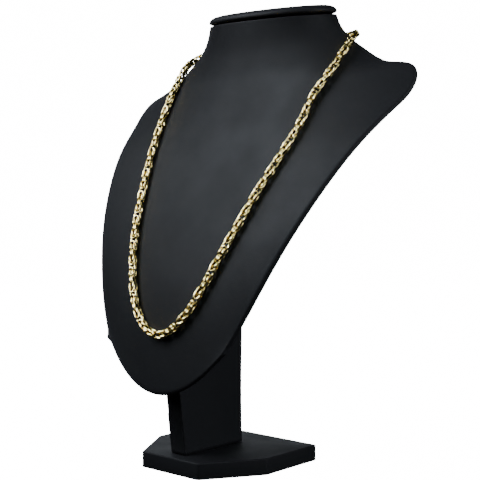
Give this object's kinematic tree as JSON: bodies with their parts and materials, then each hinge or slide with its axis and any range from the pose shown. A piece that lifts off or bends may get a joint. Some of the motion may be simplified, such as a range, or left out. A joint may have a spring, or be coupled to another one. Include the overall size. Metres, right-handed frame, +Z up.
{
  "type": "byzantine chain on neck bust",
  "caption": "Byzantine chain of interlinked oval rings, closed by a plain barrel clasp, resting on a black covered neck bust with an upright column and a flat plate base.",
  "frame": {"origin": "bottom centre of the model's bounding box, on the table under the base", "axes": "+Z up; the chest faces -Y; +X is to the right of someone who faces the front"},
  "size_m": [0.2412, 0.1494, 0.3086],
  "materials": {
    "gold": "polished yellow gold",
    "black_cover": "satin black leatherette with a fine grain"
  },
  "bodies": {
    "root": {"chain": "gold", "clasp": "gold", "bust_front": "black_cover", "nape_panel": "black_cover", "neck_cap": "black_cover", "column": "black_cover", "base": "black_cover"}
  },
  "joints": []
}
